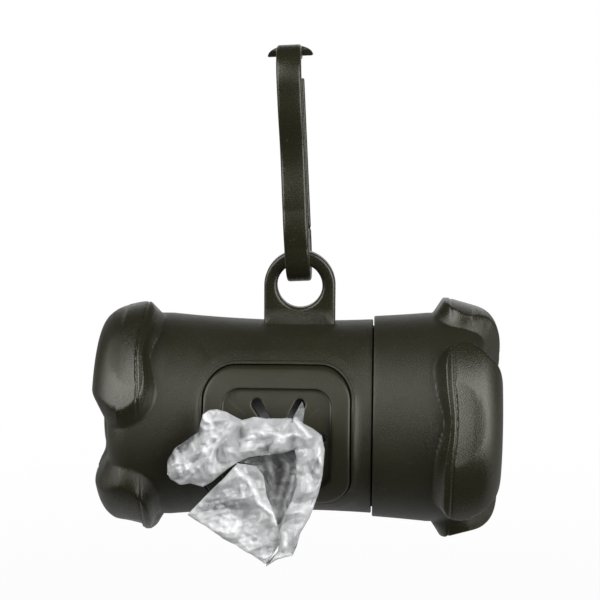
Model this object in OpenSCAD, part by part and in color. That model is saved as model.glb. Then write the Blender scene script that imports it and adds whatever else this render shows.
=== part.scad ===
// Hanging dispenser for rolls of small waste bags: a bone-shaped barrel in two halves,
// with a star-slotted plate in its front, an eye on top and a snap hook through the eye.
// The barrel lies along X, the plate faces -Y and the hook stands up along +Z.
// The origin is the middle of the bend at the top of the hook, where a lead or ring hangs it.

/* [Barrel] */
// Outer radius of the body at its waist
waist_r = 19.1; // [18.8:0.1:20]
// Growth of the radius with the square of the distance from the waist, per millimetre
flare = 0.00183; // [0.001:0.0001:0.0022]
// How far the lid stands proud of the body all round
lid_proud = 0.65; // [0.4:0.05:0.9]
// Where the body ends and the lid begins, along X
seam_x = 14.7; // [12.5:0.1:18]
// Gap between the lid's rim and the body's shoulder
seam_gap = 0.2; // [0.15:0.05:0.4]
// Distance from the middle to the end wall of each core
core_half_l = 36.8; // [36.4:0.1:37.4]

/* [Bone ends] */
// Number of lobes round each end
lobes = 3; // [3:1:3]
// Distance from the middle to the tips of the lobes
half_l = 40.1; // [39.5:0.1:41]
// Radius of the crest of the body's lobes
crest_r = 23.1; // [22.4:0.1:23.6]
// Distance from the middle to the crest of the lobes
crest_x = 29.4; // [28.8:0.1:30]
// Distance from the middle to the centres of the round bosses that make the lobes
boss_x = 35.6; // [35.2:0.1:36]
// Radius of a boss at the barrel's surface
boss_foot_r = 9.1; // [8.8:0.1:9.4]
// Radius of a boss at the crest
boss_head_r = 7.5; // [7:0.1:7.8]
// Angle between a lobe's middle and each of its two bosses
boss_angle = 28; // [26:0.5:29]
// Radius of the filler between the two bosses, against theirs
filler_scale = 0.88; // [0.84:0.01:0.92]
// Angle of the lid's lobes against the plate
lid_turn = 3; // [0:1:20]

/* [Inside] */
// Radius of the roll chamber
chamber_r = 16.9; // [16.2:0.1:17]
// Distance from the middle to the chamber's end walls
chamber_half_l = 34.5; // [33:0.1:34.8]
// Outer radius of the body's neck, which the lid slides over
neck_r = 18.2; // [18.1:0.05:18.3]
// Length of the neck
neck_l = 7; // [5:0.5:9]
// Radial play between the neck and the lid
neck_play = 0.1; // [0.08:0.01:0.15]
// Height of the snap bead round the neck
bead_h = 0.07; // [0.04:0.01:0.07]

/* [Slot plate] */
// Width of the plate along X
plate_w = 28; // [26:0.5:29]
// Height of the plate along Z
plate_h = 27.6; // [26:0.2:28]
// Corner radius of the plate
plate_corner_r = 6; // [4:0.5:7]
// Middle of the plate along X
plate_x = -3.3; // [-3.5:0.1:-2.5]
// Radius of the plate's curved front
plate_front_r = 20.3; // [20.2:0.1:20.6]
// Radius of the recessed panel in the plate
panel_front_r = 19.2; // [19.1:0.1:19.4]
// Radius of the plate's back
plate_back_r = 17.95; // [17.9:0.05:18.1]
// Width of the recessed panel
panel_w = 21.2; // [20:0.2:22]
// Height of the recessed panel
panel_h = 20; // [19:0.2:21]
// Corner radius of the recessed panel
panel_corner_r = 3.5; // [2.5:0.5:5]
// Gap round the plate in its seat
plate_gap = 0.1; // [0.05:0.05:0.2]
// Width of the body's raised border round the plate
border_w = 0.7; // [0.5:0.1:1.5]
// Width and height of the window behind the plate
window_size = 19.4; // [18:0.2:19.8]
// Number of arms of the star slot
star_arms = 6; // [6:1:6]
// Distance from the star's centre to the round end of each arm
star_reach = 7.5; // [6:0.1:8.2]
// Width of an arm at its round end
star_tip_w = 1.9; // [1.4:0.1:2.2]
// Width of an arm near the centre
star_root_w = 1.1; // [0.8:0.1:1.4]
// Radius of the hole at the star's centre
star_hole_r = 2.4; // [2.3:0.1:2.6]
// Radius of the pegs that hold the plate
peg_r = 1; // [0.8:0.1:1.2]

/* [Eye] */
// Height of the eye's centre above the barrel's axis
eye_z = 26.6; // [26:0.1:27]
// Radius of the eye's hole
eye_hole_r = 4.5; // [4.5:0.1:4.8]
// Radius of the eye's arch, half its width
eye_arch_r = 7.1; // [7:0.1:7.6]
// Thickness of the eye
eye_t = 3; // [2.6:0.1:3]

/* [Snap hook] */
// Height of the hook's top above the eye's centre
hook_top = 47.6; // [46:0.1:50]
// Inner radius of the hook's two bends
bend_r = 5.25; // [5.2:0.05:5.5]
// Thickness of the hook's strap
strap_t = 2.5; // [2.2:0.1:2.6]
// Width of the hook's strap
strap_w = 4.8; // [4.4:0.1:4.9]
// Height of the lower bend's inner floor above the eye's centre
bend_floor = 3.4; // [3.2:0.05:3.4]
// Lean of the hook away from straight up, to -X at its top
lean = 2.85; // [0:0.05:3]
// How far the front leg draws in at its waist
waist_in = 1.5; // [0.5:0.1:1.8]
// How far the front leg bulges out above the lower bend
bulge_out = 0.5; // [0:0.1:0.8]
// Width of the nose that the gate closes on
nose_w = 3.6; // [3:0.1:3.8]
// Width of the thumb guard at the top
guard_w = 9; // [7:0.2:10]
// Height of the thumb guard at the top
guard_h = 1.9; // [1.5:0.1:2.2]
// Thickness of the gate
gate_t = 1.8; // [1.6:0.1:2]

/* [Bags] */
// Outer radius of the wound bags
roll_r = 14; // [12.5:0.1:14]
// Length of the roll, the width of the folded bags
roll_l = 60; // [56:1:60]
// Outer radius of the cardboard core
core_r = 6; // [5:0.5:7]
// Wall of the cardboard core
core_wall = 0.8; // [0.6:0.1:1.2]
// Middle of the roll along X
roll_x = -1; // [-2:0.5:0]
// Angle of the film between the roll and the star, below level
film_angle = 42.4; // [42:0.1:43]
// Radius of the gathered film where it runs through the star
tail_r = 0.8; // [0.6:0.1:0.9]

/* [Hidden] */
$fn = 96;
charcoal = [0.14, 0.135, 0.13];
plate_black = [0.19, 0.185, 0.18];
film_white = [0.86, 0.87, 0.88];
card_brown = [0.66, 0.54, 0.39];
over = 0.01;

// The hook's own heights, above the eye's centre
low_bend_z = bend_floor + bend_r;
top_bend_z = hook_top - bend_r - strap_t;
leg_y = bend_r + strap_t / 2;
waist_z = 26.2;
waist_span = 10.4;
crease_z = waist_z - waist_span;
nose_angle = 12;
hinge_z = low_bend_z + 2.2;
hinge_r = gate_t / 2;
gate_top_z = top_bend_z + 0.8;
tongue_t = 0.9;
tongue_rise = 1.6;
tongue_gap = 0.15;
pocket_angle = 30;
guard_y = 2.6;
guard_t = 2;

// The origin, in the barrel's own frame
seat_x = -top_bend_z * sin(lean);
seat_z = eye_z + top_bend_z * cos(lean);

// The lobe's outline along the barrel
lobe_slope = 0.27;
end_r = 11;
end_round = 4.9;
end_dip = 2.8;
core_corner_r = 5;
lobe_angle = 360 / lobes;
foot_r = waist_r + flare * 25.6 * 25.6;
notch_half_angle = 33;
notch_floor = 1.2;
// Dished middle of the end face, which the lobes meet
end_hub_r = 13;

// The roll lies on the chamber's floor, and the film leaves its top for the star
roll_z = -(chamber_r - roll_r - 0.1);
tail_in = 12.4;

function barrel_r(x) = waist_r + flare * x * x;

// Points of an arc about [cx, cy]
function arc(cx, cy, r, from, to, steps) =
    [for (i = [0 : steps]) [cx + r * cos(from + (to - from) * i / steps),
                            cy + r * sin(from + (to - from) * i / steps)]];

// Moves a shape from the barrel's frame to the part's own frame
module placed() {
    translate([-seat_x, 0, -seat_z]) children();
}

// Turns a revolved shape's axis from Z to X
module along_x() {
    rotate([0, 90, 0]) children();
}

// Barrel between two places along X, standing proud of the body by an amount
module barrel(from, to, proud) {
    steps = ceil((to - from) / 3);
    curve = [for (i = [0 : steps]) let (x = from + (to - from) * i / steps) [barrel_r(x) + proud, x]];
    along_x() rotate_extrude() polygon(concat([[0, from]], curve, [[0, to]]));
}

// Round end of the barrel under the lobes, out to the end wall, towards +X
module core_end(from, proud) {
    top_r = barrel_r(25.6) + proud;
    corner_x = core_half_l - core_corner_r;
    along_x() rotate_extrude() polygon(concat(
        [[0, from], [top_r, from]],
        arc(top_r - core_corner_r, corner_x, core_corner_r, 0, 90, 8),
        [[0, core_half_l]]));
}

// Outer form that all lobes of an end share, as a solid of revolution: a crest, a slope,
// an elliptical corner and a dished end
module lobe_envelope(proud) {
    top = crest_r + proud;
    corner_x = half_l - end_round;
    corner_h = top - lobe_slope * (corner_x - crest_x) - end_r;
    along_x() rotate_extrude() polygon(concat(
        [[0, crest_x - 5], [top - 0.6, crest_x - 5], [top - 0.6, crest_x - 1.4],
         [top, crest_x - 0.2], [top - 0.1, crest_x + 0.9]],
        [for (t = [10 : 10 : 90]) [end_r + corner_h * cos(t), corner_x + end_round * sin(t)]],
        [for (t = [144 : -36 : 0]) [end_r * t / 180, half_l - end_dip * (1 + cos(t)) / 2]]));
}

// A round boss that stands out of the barrel at an angle round it, with drafted sides
module boss(angle, scale_r) {
    draft = (boss_foot_r - boss_head_r) / (crest_r - foot_r);
    inner = 12;
    reach = crest_r + 2;
    rotate([angle, 0, 0]) translate([boss_x, 0, 0]) rotate([90, 0, 0]) translate([0, 0, inner])
        cylinder(h = reach - inner, r1 = scale_r * boss_foot_r + draft * (foot_r - inner),
                 r2 = scale_r * boss_foot_r - draft * (reach - foot_r));
}

// Flat-bottomed wedge that carries the valley between two lobes on across the end face
module end_notch(angle) {
    depth = half_l - core_half_l + 0.6;
    reach = depth + 2;
    mouth = notch_floor + 2 * reach * tan(notch_half_angle);
    rotate([angle, 0, 0]) rotate([90, 0, 0]) translate([half_l - depth, 0, 7]) rotate([0, -6, 0])
        linear_extrude(height = 20)
            polygon([[0, -notch_floor / 2], [reach, -mouth / 2], [reach, mouth / 2], [0, notch_floor / 2]]);
}

// One bone end towards +X: three lobes, each of two bosses and the filler between them,
// and the dished middle of the end face. An angle of 0 faces the plate and grows towards
// the bottom
module bone_end(first_angle, proud) {
    difference() {
        intersection() {
            lobe_envelope(proud);
            union() {
                for (i = [0 : lobes - 1]) {
                    middle = first_angle + i * lobe_angle;
                    boss(middle - boss_angle, 1);
                    boss(middle + boss_angle, 1);
                    boss(middle, filler_scale);
                }
                along_x() translate([0, 0, core_half_l - 1]) cylinder(h = 5, r = end_hub_r);
            }
        }
        for (i = [0 : lobes - 1]) end_notch(first_angle + (i + 0.5) * lobe_angle);
    }
}

// Square with round corners, centred
module rounded_square(w, h, r) {
    square([w - 2 * r, h], center = true);
    square([w, h - 2 * r], center = true);
    for (sx = [-1, 1], sz = [-1, 1]) translate([sx * (w / 2 - r), sz * (h / 2 - r)]) circle(r = r);
}

// Upright prism through the front wall at the plate's place, from the chamber outwards
module plate_prism(w, h, r) {
    translate([plate_x, 0, 0]) rotate([90, 0, 0]) translate([0, 0, 8])
        linear_extrude(height = 16) rounded_square(w, h, r);
}

// Bar of the plate's curvature: a cylinder along the barrel at the plate
module curve_bar(r) {
    translate([plate_x, 0, 0]) along_x() cylinder(h = plate_w + 8, r = r, center = true);
}

// Pegs on the plate's back, in the middle of its rim on the left and right
module pegs(r, depth) {
    peg_x = (panel_w + plate_w) / 4;
    for (sx = [-1, 1]) translate([plate_x + sx * peg_x, 0, 0]) rotate([90, 0, 0])
        translate([0, 0, plate_back_r - depth]) cylinder(h = depth + 0.6, r = r);
}

// Eye on top of the body, where the hook runs through
module eye() {
    difference() {
        union() {
            translate([0, eye_t / 2, eye_z]) rotate([90, 0, 0]) cylinder(h = eye_t, r = eye_arch_r);
            translate([-eye_arch_r, -eye_t / 2, chamber_r + 1])
                cube([2 * eye_arch_r, eye_t, eye_z - chamber_r - 1]);
        }
        translate([0, eye_t, eye_z]) rotate([90, 0, 0]) cylinder(h = 2 * eye_t, r = eye_hole_r);
        // The hole's edges are broken on both faces
        for (side = [-1, 1]) translate([0, side * eye_t / 2, eye_z]) rotate([side * -90, 0, 0])
            translate([0, 0, -0.5]) cylinder(h = 0.6, r1 = eye_hole_r, r2 = eye_hole_r + 0.6);
    }
}

module body_shell() {
    color(charcoal) placed() difference() {
        union() {
            barrel(-26, seam_x, 0);
            mirror([1, 0, 0]) core_end(25.6, 0);
            mirror([1, 0, 0]) bone_end(60, 0);
            // Neck that the lid slides over, with its snap bead
            translate([seam_x - over, 0, 0]) along_x() cylinder(h = neck_l + over, r = neck_r);
            translate([seam_x + neck_l - 2.4, 0, 0]) along_x() cylinder(h = 1.2, r = neck_r + bead_h);
            // Raised border that the plate is let into
            intersection() {
                plate_prism(plate_w + 2 * border_w, plate_h + 2 * border_w, plate_corner_r + border_w);
                curve_bar(plate_front_r - 0.2);
            }
            eye();
        }
        // Roll chamber, open at the neck
        translate([-chamber_half_l, 0, 0]) along_x()
            cylinder(h = chamber_half_l + seam_x + neck_l + 1, r = chamber_r);
        // Seat of the plate
        difference() {
            plate_prism(plate_w + 2 * plate_gap, plate_h + 2 * plate_gap, plate_corner_r + plate_gap);
            curve_bar(plate_back_r - 0.1);
        }
        // Window behind the star, and the holes for the pegs
        plate_prism(window_size, window_size, panel_corner_r);
        pegs(peg_r, 4);
    }
}

module slot_plate() {
    color(plate_black) placed() {
        difference() {
            intersection() {
                plate_prism(plate_w, plate_h, plate_corner_r);
                curve_bar(plate_front_r);
            }
            curve_bar(plate_back_r);
            // Recessed panel
            difference() {
                plate_prism(panel_w, panel_h, panel_corner_r);
                curve_bar(panel_front_r);
            }
            star_slot();
        }
        pegs(peg_r, 0.8);
    }
}

// Star slot through the panel: arms that narrow towards a round hole
module star_slot() {
    translate([plate_x, 0, 0]) rotate([90, 0, 0]) translate([0, 0, 10]) linear_extrude(height = 12) {
        circle(r = star_hole_r);
        for (i = [0 : star_arms - 1]) rotate(i * 360 / star_arms) {
            translate([star_reach, 0]) circle(d = star_tip_w);
            polygon([[0, -star_root_w / 2], [star_reach, -star_tip_w / 2],
                     [star_reach, star_tip_w / 2], [0, star_root_w / 2]]);
        }
    }
}

module lid() {
    bore_end = seam_x + neck_l + 0.4;
    color(charcoal) placed() difference() {
        union() {
            barrel(seam_x + seam_gap, 26, lid_proud);
            core_end(25.6, lid_proud);
            bone_end(-lid_turn, lid_proud);
        }
        translate([seam_x - 1, 0, 0]) along_x() cylinder(h = bore_end - seam_x + 1, r = neck_r + neck_play);
        along_x() cylinder(h = chamber_half_l, r = chamber_r);
    }
}

// Places a shape of the hook: drawn as [y, height above the eye], extruded to a width along X
module hook_slab(w) {
    translate([0, 0, eye_z]) rotate([0, -lean, 0]) rotate([90, 0, 90]) translate([0, 0, -w / 2])
        linear_extrude(height = w) children();
}

// Distance of the front leg's middle line from the hook's own middle, at a height
function leg_line(z) =
    leg_y
    - (abs(z - waist_z) < waist_span ? waist_in * (1 + cos(180 * (z - waist_z) / waist_span)) / 2 : 0)
    + (z < crease_z ? bulge_out * sin(180 * (z - low_bend_z) / (crease_z - low_bend_z)) : 0);

// Ring segment of a bend, between two angles, about a height
module bend(z, from, to) {
    reach = 2 * (bend_r + strap_t);
    translate([0, z]) intersection() {
        difference() {
            circle(r = bend_r + strap_t);
            circle(r = bend_r);
        }
        polygon([[0, 0], [reach * cos(from), reach * sin(from)],
                 [reach * cos((from + to) / 2), reach * sin((from + to) / 2)],
                 [reach * cos(to), reach * sin(to)]]);
    }
}

// Front leg of the hook, drawn in at its waist
module front_leg() {
    steps = 24;
    heights = [for (i = [0 : steps]) low_bend_z + (top_bend_z - low_bend_z) * i / steps];
    outer = [for (z = heights) [-leg_line(z) - strap_t / 2, z]];
    inner = [for (i = [steps : -1 : 0]) [-leg_line(heights[i]) + strap_t / 2, heights[i]]];
    polygon(concat(outer, inner));
}

// Places a solid that stands on the eye's centre in the hook's leaning frame
module on_hook() {
    translate([0, 0, eye_z]) rotate([0, -lean, 0]) children();
}

module clip_frame() {
    color(charcoal) placed() difference() {
        union() {
            hook_slab(strap_w) {
                bend(low_bend_z, 180, 270);
                bend(low_bend_z, 270, 360);
                front_leg();
                bend(top_bend_z, 60, 180);
                // Stub that the gate grows from
                translate([bend_r, low_bend_z - over]) square([strap_t, hinge_z - low_bend_z]);
            }
            hook_slab(nose_w) difference() {
                bend(top_bend_z, nose_angle, 60 + over);
                // Pocket for the gate's tongue, behind the nose
                translate([0, top_bend_z]) intersection() {
                    circle(r = bend_r + tongue_t + tongue_gap);
                    polygon([[0, 0], [20, 0], [20, 20 * tan(pocket_angle)]]);
                }
            }
            on_hook() thumb_guard();
        }
        // Round seat that the gate's foot turns in
        on_hook() translate([0, leg_y, hinge_z]) along_x()
            cylinder(h = strap_w + 2, r = hinge_r + 0.15, center = true);
    }
}

// Low dome, wider than the strap, that stops the thumb just behind the hook's top
module thumb_guard() {
    dome_r = (guard_w * guard_w / 4 + guard_h * guard_h) / (2 * guard_h);
    foot_z = hook_top - 0.6 - guard_h;
    intersection() {
        translate([0, guard_y, foot_z + guard_h - dome_r]) rotate([-90, 0, 0])
            cylinder(h = guard_t, r = dome_r);
        translate([-guard_w / 2, 0, foot_z]) cube([guard_w, 2 * guard_t + guard_y, guard_h + 1]);
    }
}

module clip_gate() {
    color(charcoal) placed() {
        hook_slab(strap_w) {
            translate([leg_y, hinge_z]) circle(r = hinge_r);
            translate([leg_y - gate_t / 2, hinge_z]) square([gate_t, gate_top_z - hinge_z]);
        }
        // Tongue that closes in the pocket behind the nose
        hook_slab(nose_w) translate([bend_r, gate_top_z]) polygon([
            [0.05, -3],
            [1, -3],
            [1, -0.3],
            [tongue_t - 0.1, -0.3],
            [tongue_t / 3, tongue_rise],
            [0.05, tongue_rise]]);
    }
}

module roll_core() {
    color(card_brown) placed() translate([roll_x, 0, roll_z]) along_x() difference() {
        cylinder(h = roll_l, r = core_r, center = true);
        cylinder(h = roll_l + 2, r = core_r - core_wall, center = true);
    }
}

module bag_roll() {
    color(film_white) placed() translate([roll_x, 0, roll_z]) along_x() difference() {
        cylinder(h = roll_l, r = roll_r, center = true);
        cylinder(h = roll_l + 2, r = core_r, center = true);
    }
}

// One crumpled fold of the pulled bag: a hull round balls given as [x, y, z, radius]
module fold_of(balls) {
    hull() {
        for (b = balls) translate([b[0], b[1], b[2]]) sphere(r = b[3], $fn = 20);
    }
}

module pulled_bag() {
    color(film_white) placed() {
        // Neck of film through the star, back to where it leaves the roll
        translate([plate_x, -panel_front_r, 0]) rotate([90 + film_angle, 0, 0])
            translate([0, 0, -tail_in]) cylinder(h = tail_in + 6, r = tail_r, $fn = 32);
        // Wing to the left, band across the top, band down the right
        fold_of([[-21.8, -25, -4.6, 1.6], [-16.5, -25.5, 4.6, 2.2], [-9, -26, 0.5, 3.2]]);
        fold_of([[-14.5, -25.8, 3.2, 3.4], [-3.3, -25, 2, 4.2], [1, -26, 1.5, 4.2]]);
        fold_of([[1, -26, 1.5, 4.2], [1.6, -26, -9, 3.8]]);
        fold_of([[1.6, -26, -9, 3.8], [-4.6, -25.5, -18.6, 2.8]]);
        // Lower panel, and the film that backs the open mouth
        fold_of([[-18.3, -23.6, -12.3, 1.4], [-5, -25, -18.8, 2.6], [-9, -23.5, -5.5, 1.6]]);
        fold_of([[plate_x, -23, -1.5, 1.2], [-9, -23.5, -5.5, 1.4], [-2, -22.6, -15, 1.4]]);
    }
}

clip_frame();
clip_gate();
body_shell();
slot_plate();
lid();
roll_core();
bag_roll();
pulled_bag();
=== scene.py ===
import math

import bmesh
import bpy
import numpy as np
from mathutils import Matrix, Vector


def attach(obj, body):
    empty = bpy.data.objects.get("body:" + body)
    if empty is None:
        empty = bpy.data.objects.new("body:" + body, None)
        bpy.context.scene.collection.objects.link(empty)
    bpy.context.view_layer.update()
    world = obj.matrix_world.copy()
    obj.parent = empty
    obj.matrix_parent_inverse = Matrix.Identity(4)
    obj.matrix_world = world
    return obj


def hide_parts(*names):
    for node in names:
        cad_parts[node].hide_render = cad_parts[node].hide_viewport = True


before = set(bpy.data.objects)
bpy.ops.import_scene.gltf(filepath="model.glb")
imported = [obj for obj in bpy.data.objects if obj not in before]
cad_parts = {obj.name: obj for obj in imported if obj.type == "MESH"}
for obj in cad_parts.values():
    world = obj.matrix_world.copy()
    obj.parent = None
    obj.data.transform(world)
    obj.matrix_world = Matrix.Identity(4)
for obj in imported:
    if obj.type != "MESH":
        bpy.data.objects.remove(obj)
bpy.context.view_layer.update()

# View. The dispenser hangs before a white sweep and is seen from slightly above and a
# little to the lid's side, from about 0.36 m.
MM = 0.001
camera_distance = 360 * MM
camera_azimuth = math.radians(2.4)
camera_elevation = math.radians(10.3)
camera_roll = math.radians(0.3)
camera_target = Vector((2.0, 0.0, -42.85)) * MM
view_back = Vector((math.sin(camera_azimuth) * math.cos(camera_elevation),
                    -math.cos(camera_azimuth) * math.cos(camera_elevation),
                    math.sin(camera_elevation)))
camera = bpy.data.objects.new("camera", bpy.data.cameras.new("camera"))
bpy.context.scene.collection.objects.link(camera)
camera.data.lens = 108
camera.data.sensor_width = 36
camera.data.clip_start = 0.01
camera.location = camera_target + view_back * camera_distance
camera.rotation_mode = "QUATERNION"
camera.rotation_quaternion = ((-view_back).to_track_quat("-Z", "Y")
                              @ Matrix.Rotation(camera_roll, 4, "Z").to_quaternion())
bpy.context.scene.camera = camera
bpy.context.scene.view_settings.view_transform = "Standard"


class Wire:
    """A node's output, on which Python's arithmetic adds Math nodes."""

    def __init__(self, tree, socket=None):
        self.tree = tree
        self.socket = socket

    def node(self, kind, settings=None, sockets=None, output=0):
        """Adds a node: its settings come first, then the values or links of its sockets."""
        made = self.tree.nodes.new(kind)
        for name, value in (settings or {}).items():
            if name == "stops":
                for _ in value[2:]:
                    made.color_ramp.elements.new(0.5)
                for element, (place, shade) in zip(made.color_ramp.elements, value):
                    element.position = place
                    element.color = (shade, shade, shade, 1)
            else:
                setattr(made, name, value)
        for name, value in (sockets or {}).items():
            if isinstance(value, Wire):
                self.tree.links.new(value.socket, made.inputs[name])
            else:
                made.inputs[name].default_value = value
        return Wire(self.tree, made.outputs[output] if made.outputs else None)

    def maths(self, operation, *values):
        return self.node("ShaderNodeMath", {"operation": operation}, dict(enumerate(values)))

    def __add__(self, other):
        return self.maths("ADD", self, other)

    __radd__ = __add__

    def __sub__(self, other):
        return self.maths("SUBTRACT", self, other)

    def __rsub__(self, other):
        return self.maths("SUBTRACT", other, self)

    def __mul__(self, other):
        return self.maths("MULTIPLY", self, other)

    __rmul__ = __mul__


def node_material(name):
    """An empty node material, and the wire that its nodes are added from."""
    material = bpy.data.materials.new(name)
    material.use_nodes = True
    material.node_tree.nodes.clear()
    return material, Wire(material.node_tree)


# Sweep. A pale matt floor that runs from under the dispenser far to the back, as a studio's
# white paper does. The camera sees it white, with a faint shadow below the dispenser that
# fades out, and the plastic mirrors it at less than full white.
floor_z = -0.27
floor_front, floor_back, floor_side = 0.0, 6.0, 5.0
shadow_share = 0.08

floor_mesh = bpy.data.meshes.new("sweep")
floor_mesh.from_pydata([(-floor_side, floor_front, floor_z), (floor_side, floor_front, floor_z),
                        (floor_side, floor_back, floor_z), (-floor_side, floor_back, floor_z)],
                       [], [(0, 1, 2, 3)])
sweep = bpy.data.objects.new("sweep", floor_mesh)
bpy.context.scene.collection.objects.link(sweep)
sweep_material, wires = node_material("sweep_white")
by_eye = wires.node("ShaderNodeLightPath", output="Is Camera Ray")
mirrored = wires.node("ShaderNodeLightPath", output="Is Glossy Ray")
through = wires.node("ShaderNodeLightPath", output="Is Transmission Ray")
place = wires.node("ShaderNodeTexCoord", output="Object")
on_floor = wires.node("ShaderNodeMapping", None, {"Vector": place, "Scale": (1, 1, 0)})
from_object = wires.node("ShaderNodeVectorMath", {"operation": "LENGTH"}, {0: on_floor},
                         output="Value")
near = wires.node("ShaderNodeMapRange", {"interpolation_type": "SMOOTHSTEP"}, {
    "Value": from_object, "From Min": 0.3, "From Max": 0.8, "To Min": shadow_share, "To Max": 0.0})
seen = by_eye + mirrored + through
paper = wires.node("ShaderNodeBsdfDiffuse", None, {"Color": (0.8, 0.8, 0.8, 1)})
lit_white = wires.node("ShaderNodeEmission", None, {"Strength": 1 - mirrored * 0.6})
wires.node("ShaderNodeOutputMaterial", None, {
    "Surface": wires.node("ShaderNodeMixShader", None,
                          {0: seen * (1 - near), 1: paper, 2: lit_white})})
floor_mesh.materials.append(sweep_material)

# Studio. Two softboxes beside the camera, high up, with a dimmer gap between them, and a dim
# room. The room behind the dispenser is white, also where the plastic mirrors it.
room_light = 0.15
room_mirrored = 0.08
lamps = [("left_softbox", (-0.64, -0.44, 0.38), (0.70, 1.00), 11.5),
         ("right_softbox", (0.62, -0.48, 0.17), (0.70, 1.08), 12.0),
         ("front_lamp", (0.0, -0.72, 0.44), (0.55, 0.42), 0.5)]

for name, place, size, power in lamps:
    lamp = bpy.data.objects.new(name, bpy.data.lights.new(name, "AREA"))
    bpy.context.scene.collection.objects.link(lamp)
    lamp.data.shape = "RECTANGLE"
    lamp.data.size, lamp.data.size_y = size
    lamp.data.energy = power
    lamp.location = place
    lamp.rotation_mode = "QUATERNION"
    lamp.rotation_quaternion = (camera_target - lamp.location).to_track_quat("-Z", "Y")

room = bpy.data.worlds.new("room")
bpy.context.scene.world = room
room.use_nodes = True
room.node_tree.nodes.clear()
wires = Wire(room.node_tree)
by_eye = wires.node("ShaderNodeLightPath", output="Is Camera Ray")
mirrored = wires.node("ShaderNodeLightPath", output="Is Glossy Ray")
through = wires.node("ShaderNodeLightPath", output="Is Transmission Ray")
direction = wires.node("ShaderNodeTexCoord", output="Generated")
to_back = wires.node("ShaderNodeSeparateXYZ", None, {0: direction}, output="Y")
behind = wires.node("ShaderNodeMapRange", {"interpolation_type": "SMOOTHSTEP"},
                    {"Value": to_back, "From Min": 0.8, "From Max": 1.0})
white = by_eye.maths("MAXIMUM", by_eye + through, mirrored * behind)
level = white + (1 - by_eye) * (1 - through) * (mirrored * room_mirrored
                                                + (1 - mirrored) * room_light) * (1 - white)
light = wires.node("ShaderNodeBackground", None, {"Color": (1, 1, 1, 1), "Strength": level})
wires.node("ShaderNodeOutputWorld", None, {"Surface": light})


# Body. The left and middle part of the barrel, one moulding in charcoal polypropylene with
# a spark-eroded face. It has the bone end, the plate's seat with its raised border, the
# chamber for the roll and the neck that the lid snaps over. All lengths are millimetres from
# the middle of the barrel's axis; hang_point is where the frame's origin lies from there.
hang_point = np.array([-1.9814, 0.0, 66.4007])
axis_drop = 0.0664  # metres from the frame's origin down to the barrel's axis
waist_r, flare = 19.1, 0.00183
seam_x, seam_gap, lid_proud = 14.7, 0.2, 0.65
chamber_r, chamber_half_l = 16.9, 34.5
neck_r, neck_end = 18.2, 21.7
plate_x, plate_z, plate_w, plate_h, plate_corner_r = -3.6, -0.6, 28.5, 27.6, 6.0
border_r, border_w, cove_w = 20.1, 0.7, 2.2
seat_r, seat_gap = 17.85, 0.13
window_half, bore_x, end_hub_r = 9.7, 21.4, 8.0
columns = 432
front_columns = 160
front_rows = 48
front_x = (13.6, -20.8)


def barrel_r(x):
    return waist_r + flare * x * x


def around(x, r, theta):
    """Points about the barrel's axis; 0 faces the plate's side and a quarter turn is up."""
    x, r, theta = np.broadcast_arrays(x, r, theta)
    return np.stack([x, -r * np.cos(theta), r * np.sin(theta)], axis=-1).astype(float)


class Skin:
    """The surface of one moulding, in millimetres about the barrel's axis.

    Film also fills one value for each point: how white it is painted, partly for its folded
    layers, partly as painted highlights along folds and painted shade in creases and hollows.
    """

    def __init__(self):
        self.points, self.faces, self.layers, self.count = [], [], [], 0

    def ring(self, points):
        """Adds a row of points and returns their numbers."""
        self.points.append(np.asarray(points, float))
        self.count += len(points)
        return np.arange(self.count - len(points), self.count)

    def strip(self, a, b, closed=True, skip=None):
        """Faces between two rows with as many points, but for a range of columns."""
        last = len(a) if closed else len(a) - 1
        for i in range(last):
            if skip is None or not skip[0] <= i < skip[1]:
                j = (i + 1) % len(a)
                self.faces.append((int(a[i]), int(a[j]), int(b[j]), int(b[i])))

    def rows(self, rows, after=None):
        """Adds rows of points, each joined to the one before, and the first to a row given."""
        numbers = [self.ring(row) for row in rows]
        chain = numbers if after is None else [after] + numbers
        for a, b in zip(chain, chain[1:]):
            self.strip(a, b)
        return numbers

    def belt(self, rows):
        """Adds rows whose last one also joins the first, as round the section of a ring."""
        numbers = self.rows(rows)
        self.strip(numbers[-1], numbers[0])

    def bar(self, rows):
        """Adds rows with both ends closed."""
        numbers = self.rows(rows)
        for end in (numbers[0], numbers[-1]):
            self.fan(end, np.concatenate(self.points)[end].mean(axis=0))

    def fan(self, ring, point):
        """Closes a ring towards a point."""
        middle = int(self.ring([point])[0])
        for i in range(len(ring)):
            self.faces.append((int(ring[i]), int(ring[(i + 1) % len(ring)]), middle))

    def piece(self, name, body, material, crease=30):
        """Makes the piece: faces outwards, smooth but for its creases, riding on a body."""
        points = (np.concatenate(self.points) - hang_point) * MM
        used, inverse = np.unique(np.concatenate([f for f in self.faces]), return_inverse=True)
        cuts = np.cumsum([len(f) for f in self.faces])[:-1]
        faces = [f.tolist() for f in np.split(inverse, cuts)]
        mesh = bpy.data.meshes.new(name)
        mesh.from_pydata(points[used].tolist(), [], faces)
        work = bmesh.new()
        work.from_mesh(mesh)
        bmesh.ops.recalc_face_normals(work, faces=work.faces)
        work.to_mesh(mesh)
        work.free()
        if self.layers:
            layers = mesh.attributes.new("layers", "FLOAT", "POINT")
            layers.data.foreach_set("value", np.concatenate(self.layers)[used])
        mesh.shade_smooth()
        mesh.set_sharp_from_angle(angle=math.radians(crease))
        made = bpy.data.objects.new(name, mesh)
        bpy.context.scene.collection.objects.link(made)
        mesh.materials.append(material)
        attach(made, body)
        return made


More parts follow.
